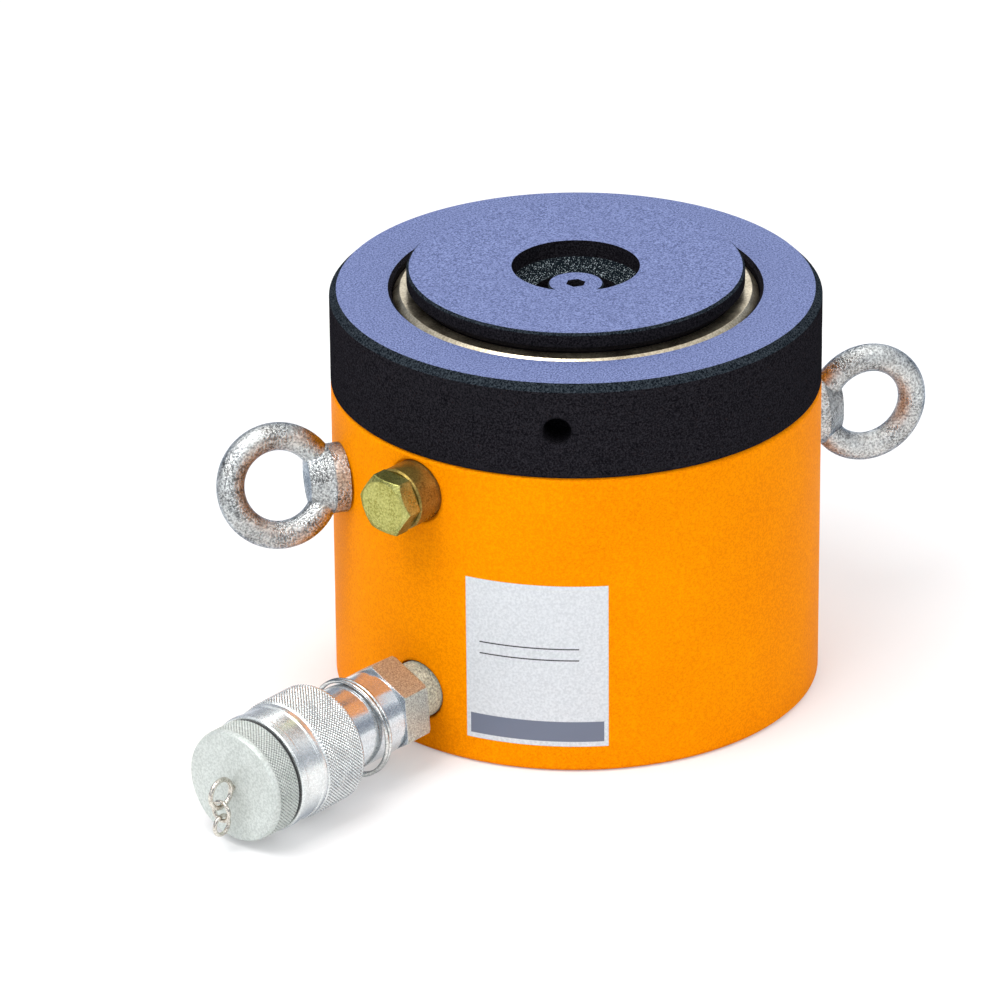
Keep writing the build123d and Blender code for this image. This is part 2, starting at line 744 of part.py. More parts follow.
with BuildPart() as cap_gasket:
    with BuildSketch(port_cross(COUPLER_Z, rim_back - GASKET_THICK)):
        Circle(GASKET_R)
        Circle(sleeve_cavity_r - THREAD_GAP + SCREW_GAP, mode=Mode.SUBTRACT)
    extrude(amount=GASKET_THICK)
save(cap_gasket.part, "cap_gasket")

# Wire eye: an upright ring on a stem in the cap's face
link_reach = cap_front + CAP_EYE_REACH
with BuildPart() as cap_eye:
    with Locations(Plane(origin=port_out * link_reach + up * COUPLER_Z, x_dir=port_out, z_dir=port_side)):
        Torus(CAP_EYE_R, CAP_EYE_WIRE_R)
    with BuildSketch(port_cross(COUPLER_Z, cap_front - CAP_STEM_ROOT)):
        Circle(CAP_STEM_R)
    extrude(amount=CAP_STEM_ROOT + CAP_EYE_REACH - CAP_EYE_R)
save(cap_eye.part, "cap_eye")

# Chain links: the first hangs on the eye, the second on the first
first_link_z = COUPLER_Z - CAP_EYE_R + CAP_EYE_WIRE_R + LINK_WIRE_R + LINK_GAP - LINK_R
second_link_z = first_link_z - 2 * LINK_R + 2 * LINK_WIRE_R + LINK_GAP
with BuildPart() as chain_link_1:
    with Locations(port_cross(first_link_z, link_reach)):
        Torus(LINK_R, LINK_WIRE_R)
save(chain_link_1.part, "chain_link_1")

second_link_frame = Plane(
    origin=port_out * link_reach + up * second_link_z, x_dir=port_out, z_dir=port_side
)
with BuildPart() as chain_link_2:
    with Locations(second_link_frame):
        Torus(LINK_R, LINK_WIRE_R)
save(chain_link_2.part, "chain_link_2")

# Lanyard ring: two coils of wire that hang on the coupler's neck
ring_in = lanyard_r - LANYARD_WIRE_R
ring_z = COUPLER_Z + neck_r + LANYARD_GAP - ring_in
with BuildPart() as lanyard_ring:
    for side in (LANYARD_WIRE_R, -LANYARD_WIRE_R):
        with Locations(port_cross(ring_z, hex_front + lanyard_rEACH + side)):
            Torus(lanyard_r, LANYARD_WIRE_R + SCREW_GAP)
save(lanyard_ring.part, "lanyard_ring")
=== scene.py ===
"""The look of the pancake lock nut cylinder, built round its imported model. Metres, the
origin at the centre of the base, +Z along the stroke, the eye bolts on the X axis."""

import json
from math import cos, pi, radians, sin

import bmesh
import bpy
from mathutils import Matrix, Vector


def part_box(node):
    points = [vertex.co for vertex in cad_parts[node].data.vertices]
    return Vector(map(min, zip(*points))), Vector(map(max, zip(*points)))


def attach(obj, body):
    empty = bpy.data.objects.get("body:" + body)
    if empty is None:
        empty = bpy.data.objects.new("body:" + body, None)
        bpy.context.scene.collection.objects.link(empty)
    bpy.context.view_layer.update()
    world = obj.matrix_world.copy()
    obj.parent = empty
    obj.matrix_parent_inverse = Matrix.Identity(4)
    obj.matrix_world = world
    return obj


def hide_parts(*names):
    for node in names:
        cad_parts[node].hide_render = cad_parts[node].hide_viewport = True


MM = 0.001
UP = Vector((0, 0, 1))

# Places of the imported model
PORT_ANGLE = radians(-148.3)
PORT_OUT = Vector((cos(PORT_ANGLE), sin(PORT_ANGLE), 0))
PORT_SIDE = PORT_OUT.cross(UP)
COUPLER_Z = 18.0 * MM
OVERFLOW_Z = 80.0 * MM
BODY_R = 70.0 * MM

# The camera, matched to the photograph's view of the base circle, the nut and the saddle
VIEW_AZIMUTH = radians(-18.3)
VIEW_ELEVATION = radians(25.09)
VIEW_ROLL = radians(-0.207)
VIEW_DISTANCE = 1.8989
LOOK_AT = Vector((0, 0, 0.06))

# Shading: how far a bump's edges are softened, and the limits of smooth shading
EDGE_SOFT = 0.2 * MM
NODE_SHARP = radians(32)
PIECE_SHARP = radians(40)

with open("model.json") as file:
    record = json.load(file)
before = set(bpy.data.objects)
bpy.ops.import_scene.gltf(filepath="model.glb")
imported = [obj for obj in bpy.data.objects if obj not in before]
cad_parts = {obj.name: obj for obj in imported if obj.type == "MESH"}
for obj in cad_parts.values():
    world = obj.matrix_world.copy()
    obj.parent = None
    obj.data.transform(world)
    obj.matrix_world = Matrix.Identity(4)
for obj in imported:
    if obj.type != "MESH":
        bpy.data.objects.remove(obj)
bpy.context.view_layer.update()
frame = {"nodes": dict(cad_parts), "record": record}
nodes = frame["nodes"]
scene = bpy.context.scene


def toward(azimuth, elevation):
    """Direction from the object; azimuth 0 looks along -Y, and turns toward +X."""
    return Vector((sin(azimuth) * cos(elevation), -cos(azimuth) * cos(elevation), sin(elevation)))


def make_camera():
    data = bpy.data.cameras.new("camera")
    data.sensor_width = 36
    data.lens = 238.0
    data.shift_x = -0.07646
    data.shift_y = -0.02665
    data.clip_start = 0.05
    data.clip_end = 20
    camera = bpy.data.objects.new("camera", data)
    scene.collection.objects.link(camera)
    back = toward(VIEW_AZIMUTH, VIEW_ELEVATION)
    camera.location = LOOK_AT + back * VIEW_DISTANCE
    look = (-back).to_track_quat("-Z", "Y").to_matrix()
    roll = Matrix.Rotation(VIEW_ROLL, 3, "Z")
    camera.rotation_mode = "QUATERNION"
    camera.rotation_quaternion = (look @ roll).to_quaternion()
    scene.camera = camera


# Shader nodes
MIX_SOCKETS = (0, 6, 7)  # factor and the two colours of a colour mix
MIX_RESULT = 2


def new_material(name):
    material = bpy.data.materials.new(name)
    material.use_nodes = True
    tree = material.node_tree
    return material, tree, tree.nodes["Principled BSDF"]


def feed(tree, socket, value):
    """Link a node's output to the socket, or set a number or a colour on it."""
    if isinstance(value, bpy.types.NodeSocket):
        tree.links.new(value, socket)
    elif isinstance(value, tuple):
        socket.default_value = (*value, 1)
    else:
        socket.default_value = value


def object_coords(tree):
    return tree.nodes.new("ShaderNodeTexCoord").outputs["Object"]


def axes(tree, vector):
    node = tree.nodes.new("ShaderNodeSeparateXYZ")
    tree.links.new(vector, node.inputs["Vector"])
    return node.outputs


def noise(tree, scale, detail=2.0, roughness=0.5, stretch=None):
    """Noise factor over the object's own coordinates; the scale is in features a metre."""
    coords = object_coords(tree)
    if stretch:
        mapping = tree.nodes.new("ShaderNodeMapping")
        mapping.inputs["Scale"].default_value = stretch
        tree.links.new(coords, mapping.inputs["Vector"])
        coords = mapping.outputs["Vector"]
    node = tree.nodes.new("ShaderNodeTexNoise")
    node.inputs["Scale"].default_value = scale
    node.inputs["Detail"].default_value = detail
    node.inputs["Roughness"].default_value = roughness
    tree.links.new(coords, node.inputs["Vector"])
    return node.outputs["Fac"]


def color_stops(tree, factor, stops):
    """A ramp of colours, each with its place from 0 to 1, in rising order."""
    node = tree.nodes.new("ShaderNodeValToRGB")
    for _ in stops[2:]:
        node.color_ramp.elements.new(0.5)
    for element, (place, color) in zip(node.color_ramp.elements, stops):
        element.position = place
        element.color = (*color, 1)
    tree.links.new(factor, node.inputs["Fac"])
    return node.outputs["Color"]


def ramp(tree, factor, low, high, start=0.35, end=0.65):
    return color_stops(tree, factor, ((start, low), (end, high)))


def mix_color(tree, factor, a, b):
    node = tree.nodes.new("ShaderNodeMix")
    node.data_type = "RGBA"
    for index, value in zip(MIX_SOCKETS, (factor, a, b)):
        feed(tree, node.inputs[index], value)
    return node.outputs[MIX_RESULT]


def maths(tree, operation, *values, clamp=False):
    node = tree.nodes.new("ShaderNodeMath")
    node.operation = operation
    node.use_clamp = clamp
    for socket, value in zip(node.inputs, values):
        feed(tree, socket, value)
    return node.outputs[0]


def map_range(tree, factor, from_low, from_high, low, high):
    node = tree.nodes.new("ShaderNodeMapRange")
    node.inputs["From Min"].default_value = from_low
    node.inputs["From Max"].default_value = from_high
    node.inputs["To Min"].default_value = low
    node.inputs["To Max"].default_value = high
    tree.links.new(factor, node.inputs["Value"])
    return node.outputs["Result"]


def vary(tree, factor, low, high):
    """A number between two values, over the middle of a noise's range."""
    return map_range(tree, factor, 0.3, 0.7, low, high)


# Masks: 1 where something holds, and 0 elsewhere
def above(tree, value, limit):
    return maths(tree, "GREATER_THAN", value, limit)


def below(tree, value, limit):
    return maths(tree, "LESS_THAN", value, limit)


def both(tree, a, b):
    return maths(tree, "MULTIPLY", a, b)


def outside(tree, mask):
    return maths(tree, "SUBTRACT", 1.0, mask)


def between(tree, value, low, high):
    return both(tree, above(tree, value, low), below(tree, value, high))


def bump(tree, shader, height, strength, distance, edge=0.0):
    """Bump on the shader, over edges softened by a small bevel."""
    node = tree.nodes.new("ShaderNodeBump")
    node.inputs["Strength"].default_value = strength
    node.inputs["Distance"].default_value = distance
    tree.links.new(height, node.inputs["Height"])
    if edge:
        soft = tree.nodes.new("ShaderNodeBevel")
        soft.samples = 4
        soft.inputs["Radius"].default_value = edge
        tree.links.new(soft.outputs["Normal"], node.inputs["Normal"])
    tree.links.new(node.outputs["Normal"], shader.inputs["Normal"])


# Materials
def orange_paint():
    material, tree, shader = new_material("orange_paint")
    speckle = noise(tree, 1500, 2.0, 0.8)
    cloud = noise(tree, 30, 3.0, 0.5)
    fine = ramp(tree, speckle, (0.72, 0.17, 0.0), (1.0, 0.345, 0.0), 0.40, 0.60)
    worn = ramp(tree, cloud, (0.88, 0.235, 0.0), (1.0, 0.30, 0.0), 0.3, 0.7)
    tree.links.new(mix_color(tree, 0.5, fine, worn), shader.inputs["Base Color"])
    tree.links.new(vary(tree, cloud, 0.42, 0.52), shader.inputs["Roughness"])
    shader.inputs["Specular IOR Level"].default_value = 0.01
    bump(tree, shader, noise(tree, 900), 0.10, 0.4 * MM, 1.4 * MM)
    return material


def black_steel():
    """Blackened steel: dark sides, a blue sheen painted on the top faces as a painted reflection,
    painted highlights on the outer chamfers, and painted glints on the recess floor.
    """
    top_from = 118.5 * MM
    chamfer_from = 116.5 * MM
    recess_top = 124.5 * MM
    recess_radii = (8.05 * MM, 18.4 * MM)  # from the screw's head to the recess's wall
    inner_radii = (50.0 * MM, 66.0 * MM)  # the edges beside the barrel, which lie in shade and get no painted chamfer highlight
    chamfer_tilt = (0.5, 0.86)

    material, tree, shader = new_material("black_steel")
    geometry = tree.nodes.new("ShaderNodeNewGeometry")
    normal_z = axes(tree, geometry.outputs["Normal"])["Z"]
    place = axes(tree, object_coords(tree))
    height = place["Z"]
    squares = [maths(tree, "POWER", place[axis], 2.0) for axis in "XY"]
    radius = maths(tree, "SQRT", maths(tree, "ADD", *squares))

    recess = both(tree, below(tree, height, recess_top), between(tree, radius, *recess_radii))
    facing = map_range(tree, normal_z, 0.80, 0.97, 0.0, 1.0)
    # Painted sheen: the upward faces above the top height get a painted blue reflection, except in
    # the recess
    painted_sheen = both(tree, both(tree, facing, above(tree, height, top_from)), outside(tree, recess))
    chamfer = both(tree, between(tree, normal_z, *chamfer_tilt), above(tree, height, chamfer_from))
    chamfer = both(tree, chamfer, outside(tree, between(tree, radius, *inner_radii)))
    recess_floor = both(tree, recess, above(tree, normal_z, 0.5))

    grain = noise(tree, 1900, 2.0, 0.8)
    cloud = noise(tree, 60, 3.0, 0.6)
    streak = noise(tree, 500, 3.0, 0.6, (0.25, 0.25, 3.0))
    glints = noise(tree, 2600, 1.0, 0.5)
    side = ramp(tree, grain, (0.002, 0.002, 0.003), (0.022, 0.020, 0.024), 0.40, 0.62)
    side = mix_color(tree, vary(tree, streak, 0.0, 0.35), side, (0.018, 0.018, 0.022))
    # Painted highlight: the outer chamfers are painted lighter, as light caught on the bevels
    painted_chamfer_light = ramp(tree, grain, (0.003, 0.005, 0.008), (0.040, 0.050, 0.060), 0.40, 0.64)
    side = mix_color(tree, chamfer, side, painted_chamfer_light)
    # The top faces' colour is a painted reflection of a blue sky, with slow clouds in it
    top = ramp(tree, grain, (0.037, 0.052, 0.145), (0.214, 0.261, 0.480), 0.38, 0.60)
    top = mix_color(tree, vary(tree, cloud, 0.0, 0.3), top, (0.122, 0.150, 0.306))
    # Painted glints: bright specks painted on the recess floor, which is left out of the painted
    # sheen
    painted_glints = ramp(tree, glints, (0.006, 0.009, 0.012), (0.50, 0.58, 0.62), 0.59, 0.78)
    color = mix_color(tree, recess_floor, mix_color(tree, painted_sheen, side, top), painted_glints)
    tree.links.new(color, shader.inputs["Base Color"])
    tree.links.new(vary(tree, grain, 0.34, 0.50), shader.inputs["Roughness"])
    tree.links.new(maths(tree, "MULTIPLY", painted_sheen, 0.07), shader.inputs["Specular IOR Level"])
    bump(tree, shader, grain, 0.15, 0.2 * MM, EDGE_SOFT)
    return material


def metal(
    name,
    low,
    high,
    roughness,
    grain=1500,
    depth=0.1 * MM,
    strength=0.15,
    metallic=1.0,
    patch=None,
    groove_shade=None,
    rim=None,
):
    """Plated or bare metal: fine grain, slow clouds, a patch colour with its most share, painted
    shade that darkens the cut grooves, and a tint for the faces that are seen edge on."""
    material, tree, shader = new_material(name)
    shader.inputs["Metallic"].default_value = metallic
    grains = noise(tree, grain, 3.0, 0.65)
    cloud = noise(tree, grain / 12, 3.0, 0.6)
    fine = ramp(tree, grains, low, high, 0.38, 0.60)
    tone = mix_color(tree, 0.35, fine, ramp(tree, cloud, low, high))
    if patch:
        color, most = patch
        spots = vary(tree, noise(tree, 95), 0.0, most)
        tone = mix_color(tree, spots, tone, mix_color(tree, 0.35, color, tone))
    # Painted shade: the cut grooves are darkened by their depth
    if groove_shade:
        depths = tree.nodes.new("ShaderNodeAttribute")
        depths.attribute_name = "cut"
        deep = maths(tree, "SUBTRACT", depths.outputs["Fac"], 0.45)
        tone = mix_color(tree, maths(tree, "MULTIPLY", deep, 1.8, clamp=True), tone, groove_shade)
    if rim:
        shader.inputs["Specular Tint"].default_value = (*rim, 1)
    tree.links.new(tone, shader.inputs["Base Color"])
    tree.links.new(vary(tree, cloud, *roughness), shader.inputs["Roughness"])
    bump(tree, shader, grains, strength, depth, EDGE_SOFT)
    return material


def coupler_steel():
    """Polished neck and nose, with the hexagon left as it was milled and plated."""
    hexagon_front = 88.4 * MM
    material, tree, shader = new_material("coupler_steel")
    shader.inputs["Metallic"].default_value = 0.84
    along = tree.nodes.new("ShaderNodeVectorMath")
    along.operation = "DOT_PRODUCT"
    along.inputs[1].default_value = PORT_OUT
    tree.links.new(object_coords(tree), along.inputs[0])
    hexagon = below(tree, along.outputs["Value"], hexagon_front)
    grains = noise(tree, 2300, 3.0, 0.65)
    milled = ramp(tree, grains, (0.29, 0.30, 0.275), (0.69, 0.74, 0.67), 0.36, 0.64)
    polished = ramp(tree, grains, (0.52, 0.56, 0.60), (0.82, 0.86, 0.88), 0.36, 0.64)
    tree.links.new(mix_color(tree, hexagon, polished, milled), shader.inputs["Base Color"])
    rough = maths(tree, "MULTIPLY_ADD", hexagon, 0.26, 0.13)
    tree.links.new(rough, shader.inputs["Roughness"])
    bump(tree, shader, grains, 0.15, 0.1 * MM, EDGE_SOFT)
    return material


def matt(name, low, high, roughness, grain):
    """Rubber or plastic."""
    material, tree, shader = new_material(name)
    grains = noise(tree, grain)
    tree.links.new(ramp(tree, grains, low, high), shader.inputs["Base Color"])
    shader.inputs["Roughness"].default_value = roughness
    bump(tree, shader, grains, 0.1, 0.1 * MM)
    return material


# Each metal's groove colour is painted shade for its cut grooves
METALS = {
    "plunger_steel": dict(
        low=(0.40, 0.33, 0.22),
        high=(0.80, 0.71, 0.54),
        roughness=(0.26, 0.38),
        groove_shade=(0.05, 0.04, 0.03),
    ),
    "zinc_steel": dict(
        low=(0.045, 0.06, 0.07),
        high=(0.93, 0.96, 0.95),
        roughness=(0.18, 0.36),
        depth=0.6 * MM,
        strength=0.6,
        patch=((0.30, 0.19, 0.11), 0.32),
        rim=(0.35, 0.45, 0.6),
    ),
    "nipple_steel": dict(
        low=(0.15, 0.18, 0.15),
        high=(0.72, 0.81, 0.68),
        roughness=(0.45, 0.6),
        grain=1600,
        depth=0.6 * MM,
        strength=0.6,
        metallic=0.15,
    ),
    "bright_steel": dict(
        low=(0.60, 0.61, 0.60),
        high=(0.82, 0.84, 0.83),
        roughness=(0.10, 0.24),
        grain=1600,
        depth=0.08 * MM,
    ),
    "knurl_steel": dict(
        low=(0.66, 0.68, 0.67),
        high=(0.92, 0.95, 0.94),
        roughness=(0.16, 0.28),
        grain=1900,
        strength=0.2,
        metallic=0.75,
        groove_shade=(0.03, 0.035, 0.03),
        rim=(0.45, 0.5, 0.6),
    ),
    "cap_steel": dict(
        low=(0.45, 0.485, 0.455),
        high=(0.70, 0.735, 0.70),
        roughness=(0.42, 0.58),
        depth=0.2 * MM,
        strength=0.3,
        metallic=0.35,
        groove_shade=(0.04, 0.05, 0.045),
    ),
    "spring_steel": dict(
        low=(0.40, 0.41, 0.41),
        high=(0.82, 0.83, 0.82),
        roughness=(0.14, 0.28),
    ),
    "wire_steel": dict(
        low=(0.42, 0.43, 0.42),
        high=(0.92, 0.93, 0.91),
        roughness=(0.10, 0.2),
        grain=1800,
        rim=(0.15, 0.17, 0.2),
    ),
    "chain_steel": dict(
        low=(0.40, 0.36, 0.31),
        high=(0.88, 0.84, 0.76),
        roughness=(0.15, 0.3),
        grain=1900,
        depth=0.2 * MM,
        strength=0.3,
    ),
    "yellow_zinc": dict(
        low=(0.24, 0.23, 0.045),
        high=(0.62, 0.60, 0.22),
        roughness=(0.22, 0.36),
        grain=1700,
        depth=0.2 * MM,
        strength=0.3,
        metallic=0.85,
        rim=(0.3, 0.3, 0.15),
    ),
    "bronze": dict(
        low=(0.45, 0.29, 0.12),
        high=(0.6, 0.42, 0.2),
        roughness=(0.3, 0.45),
    ),
    "brown_brass": dict(
        low=(0.10, 0.065, 0.015),
        high=(0.40, 0.28, 0.07),
        roughness=(0.25, 0.45),
        grain=1800,
        depth=0.3 * MM,
        strength=0.4,
        metallic=0.8,
        patch=((0.5, 0.36, 0.06), 0.5),
    ),
}
materials = {name: metal(name, **values) for name, values in METALS.items()}
materials["orange_paint"] = orange_paint()
materials["black_steel"] = black_steel()
materials["coupler_steel"] = coupler_steel()
materials["seal_rubber"] = matt("seal_rubber", (0.012, 0.012, 0.012), (0.03, 0.03, 0.03), 0.7, 3000)
materials["seal_plastic"] = matt("seal_plastic", (0.62, 0.60, 0.54), (0.72, 0.70, 0.64), 0.5, 1200)

# Nodes that look otherwise than their slot's material
SPECIAL = {
    "overflow_adapter": "brown_brass",
    "overflow_seal": "brown_brass",
    "dust_cap": "cap_steel",
    "port_nipple": "nipple_steel",
    "coupler_body": "coupler_steel",
    "cap_eye": "chain_steel",
    "chain_link_1": "chain_steel",
    "chain_link_2": "chain_steel",
}


def dress_nodes():
    """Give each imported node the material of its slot, and smooth shading with crisp edges."""
    for part in frame["record"]["subparts"]:
        mesh = nodes[part["node"]].data
        name = SPECIAL.get(part["node"], part["material_slot"])
        mesh.materials.clear()
        mesh.materials.append(materials[name])
        mesh.shade_smooth()
        mesh.set_sharp_from_angle(angle=NODE_SHARP)


# Pieces made here in place of, or on top of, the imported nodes
def around_port(height):
    """Places round a port's axis at that height; the angle starts at the side and turns upward."""

    def place(axial, radius, angle):
        across = PORT_SIDE * cos(angle) + UP * sin(angle)
        return PORT_OUT * axial + UP * height + across * radius

    return place


def around_stroke(axial, radius, angle):
    return Vector((radius * cos(angle), radius * sin(angle), axial))


def lathe(name, rows, place, segments, body, node, material, relief):
    """A turned piece that replaces a node: a closed round of rows (axial, radius, depth), with the
    relief's share of each row's depth cut in. The share is kept for the painted shade in the
    grooves."""
    verts = []
    cuts = []
    for axial, radius, depth in rows:
        for i in range(segments):
            angle = 2 * pi * i / segments
            share = relief(axial, angle) if depth else 0
            cuts.append(share)
            verts.append(place(axial, radius - depth * share, angle))
    faces = []
    for row in range(len(rows)):
        start = row * segments
        after = (row + 1) % len(rows) * segments
        for i in range(segments):
            j = (i + 1) % segments
            faces.append((start + i, start + j, after + j, after + i))
    mesh = bpy.data.meshes.new(name)
    mesh.from_pydata(verts, [], faces)
    work = bmesh.new()
    work.from_mesh(mesh)
    bmesh.ops.recalc_face_normals(work, faces=work.faces)
    work.to_mesh(mesh)
    work.free()
    mesh.attributes.new("cut", "FLOAT", "POINT").data.foreach_set("value", cuts)
    mesh.materials.append(materials[material])
    mesh.shade_smooth()
    mesh.set_sharp_from_angle(angle=PIECE_SHARP)
    piece = bpy.data.objects.new(name, mesh)
    scene.collection.objects.link(piece)
    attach(piece, body)
    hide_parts(node)


def port_reaches(node):
    """Nearest and furthest reach of a node along the coupler's axis."""
    reaches = [v.co.dot(PORT_OUT) for v in nodes[node].data.vertices]
    return min(reaches), max(reaches)


def diamond_knurl(teeth, radius):
    """Depth of a crossed knurl, 0 on the diamonds' tips and 1 in the grooves."""
    pitch = 2 * pi * radius / teeth
    steepness = 1.7

    def cut(axial, angle):
        around = angle * teeth / (2 * pi)
        along = axial / pitch
        right = abs(2 * ((around + along) % 1) - 1)
        left = abs(2 * ((around - along) % 1) - 1)
        return 1 - min(1.0, steepness * min(1 - right, 1 - left))

    return cut


def spread(start, end, count, radius, depth):
    """Evenly spaced rows of one radius, for a relief."""
    return [(start + (end - start) * i / count, radius, depth) for i in range(count + 1)]


def make_sleeve():
    """The coupler's sleeve: a rounded, knurled grip and a smooth band with a sunk ring."""
    back, front = port_reaches("coupler_sleeve")
    outer, band, cavity, bore = 17.3 * MM, 16.9 * MM, 15.5 * MM, 11.45 * MM
    wall = 4.7 * MM
    shoulder, shoulder_steps = 1.6 * MM, 6
    shoulder_cut, knurl_cut = 0.20 * MM, 0.36 * MM
    knurl_end = back + 15.2 * MM
    knurl_lead = 0.5 * MM
    undercut, sunk, edge = 0.25 * MM, 0.35 * MM, 0.4 * MM
    rows = [(back, bore, 0), (back, outer - shoulder, 0)]
    for i in range(1, shoulder_steps):
        turn = i / shoulder_steps * pi / 2
        axial = back + shoulder * (1 - cos(turn))
        rows.append((axial, outer - shoulder * (1 - sin(turn)), shoulder_cut))
    rows += spread(back + shoulder, knurl_end - knurl_lead, 84, outer, knurl_cut)
    rows += [
        (knurl_end, band - undercut, 0),
        (knurl_end + 0.5 * MM, band, 0),
        (knurl_end + 1.9 * MM, band, 0),
        (knurl_end + 2.3 * MM, band - sunk, 0),
        (front - 2.6 * MM, band - sunk, 0),
        (front - 2.2 * MM, band, 0),
        (front - edge, band, 0),
        (front, band - edge, 0),
        (front, cavity, 0),
        (back + wall, cavity, 0),
        (back + wall, bore, 0),
    ]
    relief = diamond_knurl(102, outer)
    place = around_port(COUPLER_Z)
    node = "coupler_sleeve"
    lathe("sleeve_knurled", rows, place, 720, node, node, "knurl_steel", relief)


def make_cap():
    """The dust cap: a hollow plug, a knurled rim and a plain face."""
    back, front = port_reaches("dust_cap")
    rim, face, plug, hollow = 16.4 * MM, 15.9 * MM, 15.2 * MM, 12.0 * MM
    rim_back = front - 9.3 * MM
    rim_front = front - 1.5 * MM
    inner = front - 6.0 * MM
    centre = 0.01 * MM
    chamfer = 0.5 * MM
    knurl_cut = 0.34 * MM
    rows = [
        (back, hollow, 0),
        (back, plug - chamfer, 0),
        (back + chamfer, plug, 0),
        (rim_back, plug, 0),
        (rim_back, rim - chamfer, 0),
    ]
    rows += spread(rim_back + 0.4 * MM, rim_front - 0.3 * MM, 44, rim, knurl_cut)
    rows += [
        (rim_front, rim - 0.1 * MM, 0),
        (front - 0.2 * MM, face, 0),
        (front, face - 0.2 * MM, 0),
        (front, centre, 0),
        (inner, centre, 0),
        (inner, hollow, 0),
    ]
    relief = diamond_knurl(96, rim)
    place = around_port(COUPLER_Z)
    node = "dust_cap"
    lathe("dust_cap_knurled", rows, place, 672, node, node, "cap_steel", relief)


def make_plunger():
    """The plunger with its 4 mm pitch trapezoidal thread and its spherical dish."""
    low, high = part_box("plunger")
    bottom, top = low.z, high.z
    foot_r, thread_r = high.x, 52.0 * MM
    pitch, depth = 4.0 * MM, 1.9 * MM
    foot_top = bottom + 24.2 * MM
    foot_bevel, lead, centre = 3.0 * MM, 2.0 * MM, 0.01 * MM
    tilt_centre, dish_edge = 165.0 * MM, 46.0 * MM
    dish_r = (dish_edge**2 + (tilt_centre - top) ** 2) ** 0.5
    dish_steps = 24

    def thread(axial, angle):
        phase = (axial / pitch - angle / (2 * pi)) % 1
        return min(1.0, max(0.0, 2.0 - abs(phase - 0.5) * 6.0))

    rows = [
        (bottom, centre, 0),
        (bottom, foot_r - foot_bevel, 0),
        (bottom + foot_bevel, foot_r, 0),
        (foot_top, foot_r, 0),
        (foot_top + 0.5 * MM, thread_r, 0),
    ]
    rows += spread(foot_top + 3.0 * MM, top - lead - 0.2 * MM, 290, thread_r, depth)
    rows += [(top - lead, thread_r, 0), (top, thread_r - lead, 0), (top, dish_edge, 0)]
    for i in range(1, dish_steps + 1):
        radius = dish_edge * (1 - i / dish_steps) + centre
        rows.append((tilt_centre - (dish_r**2 - radius**2) ** 0.5, radius, 0))
    node = "plunger"
    lathe("plunger_threaded", rows, around_stroke, 192, node, node, "plunger_steel", thread)


def make_plug():
    """The overflow plug: a forged hexagon head with its turned chamfer, and its shank."""
    front = port_reaches("overflow_plug")[1]
    back = front - 6.0 * MM
    shank_end = back - 7.0 * MM
    washer, shank, centre = 7.7 * MM, 3.6 * MM, 0.01 * MM
    head = back + 0.4 * MM
    flat, face, dimple = 8.0 * MM, 7.3 * MM, 0.12 * MM
    corner = flat / cos(pi / 6)
    vertex = radians(4.0)
    chamfer_slope = 0.577
    chamfer_steps = (1.6, 1.1, 0.9, 0.7, 0.5, 0.3, 0.15, 0.0)

    def relief(axial, angle):
        hexagon = flat / cos((angle - vertex) % (pi / 3) - pi / 6)
        cone = face + (front - axial) / chamfer_slope
        return corner - min(hexagon, cone)

    rows = [(shank_end, centre, 0), (shank_end, shank, 0), (back, shank, 0)]
    rows += [(back, washer, 0), (head, washer, 0), (head, corner, 1)]
    rows += [(front - step * MM, corner, 1) for step in chamfer_steps]
    rows += [(front - dimple, face - 0.35 * MM, 0), (front - dimple, centre, 0)]
    place = around_port(OVERFLOW_Z)
    lathe("plug_hexagon", rows, place, 180, "cylinder", "overflow_plug", "yellow_zinc", relief)


def make_lanyard():
    """The lanyard's split ring: one wire wound twice, side by side."""
    low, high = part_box("lanyard_ring")
    middle = (low + high) / 2
    radius, wire, pitch = 14.0 * MM, 0.58 * MM, 1.3 * MM
    turns, first_angle = 1.94, 0.6
    cross_from, cross_share = 0.40, 0.20
    count = 150
    curve = bpy.data.curves.new("lanyard_wire", "CURVE")
    curve.dimensions = "3D"
    curve.bevel_depth = wire
    curve.bevel_resolution = 4
    curve.use_fill_caps = True
    spline = curve.splines.new("POLY")
    spline.points.add(count)
    for i, point in enumerate(spline.points):
        share = i / count
        angle = 2 * pi * turns * share + first_angle
        step = min(1.0, max(0.0, (share - cross_from) / cross_share))
        side = PORT_SIDE * cos(angle) + UP * sin(angle)
        place = middle + side * radius + PORT_OUT * pitch * (step - 0.5)
        point.co = (*place, 1)
    piece = bpy.data.objects.new("lanyard_wire", curve)
    scene.collection.objects.link(piece)
    curve.materials.append(materials["wire_steel"])
    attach(piece, "lanyard_ring")
    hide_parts("lanyard_ring")


def label_material():
    """Blank paper with two ruled lines and a grey band, each (left, right, bottom, top)."""
    rules = ((0.10, 0.80, 0.605, 0.613), (0.10, 0.80, 0.535, 0.543))
    band = (0.03, 0.97, 0.03, 0.155)
    material, tree, shader = new_material("label")
    place = axes(tree, tree.nodes.new("ShaderNodeTexCoord").outputs["UV"])

    def field(left, right, bottom, top):
        columns = between(tree, place["X"], left, right)
        return both(tree, columns, between(tree, place["Y"], bottom, top))

    color = ramp(tree, noise(tree, 1400), (0.56, 0.58, 0.60), (0.68, 0.70, 0.72))
    for rule in rules:
        color = mix_color(tree, field(*rule), color, (0.02, 0.02, 0.025))
    color = mix_color(tree, field(*band), color, (0.14, 0.16, 0.22))
    tree.links.new(color, shader.inputs["Base Color"])
    shader.inputs["Roughness"].default_value = 0.45
    bump(tree, shader, noise(tree, 500), 0.05, 0.2 * MM)
    return material


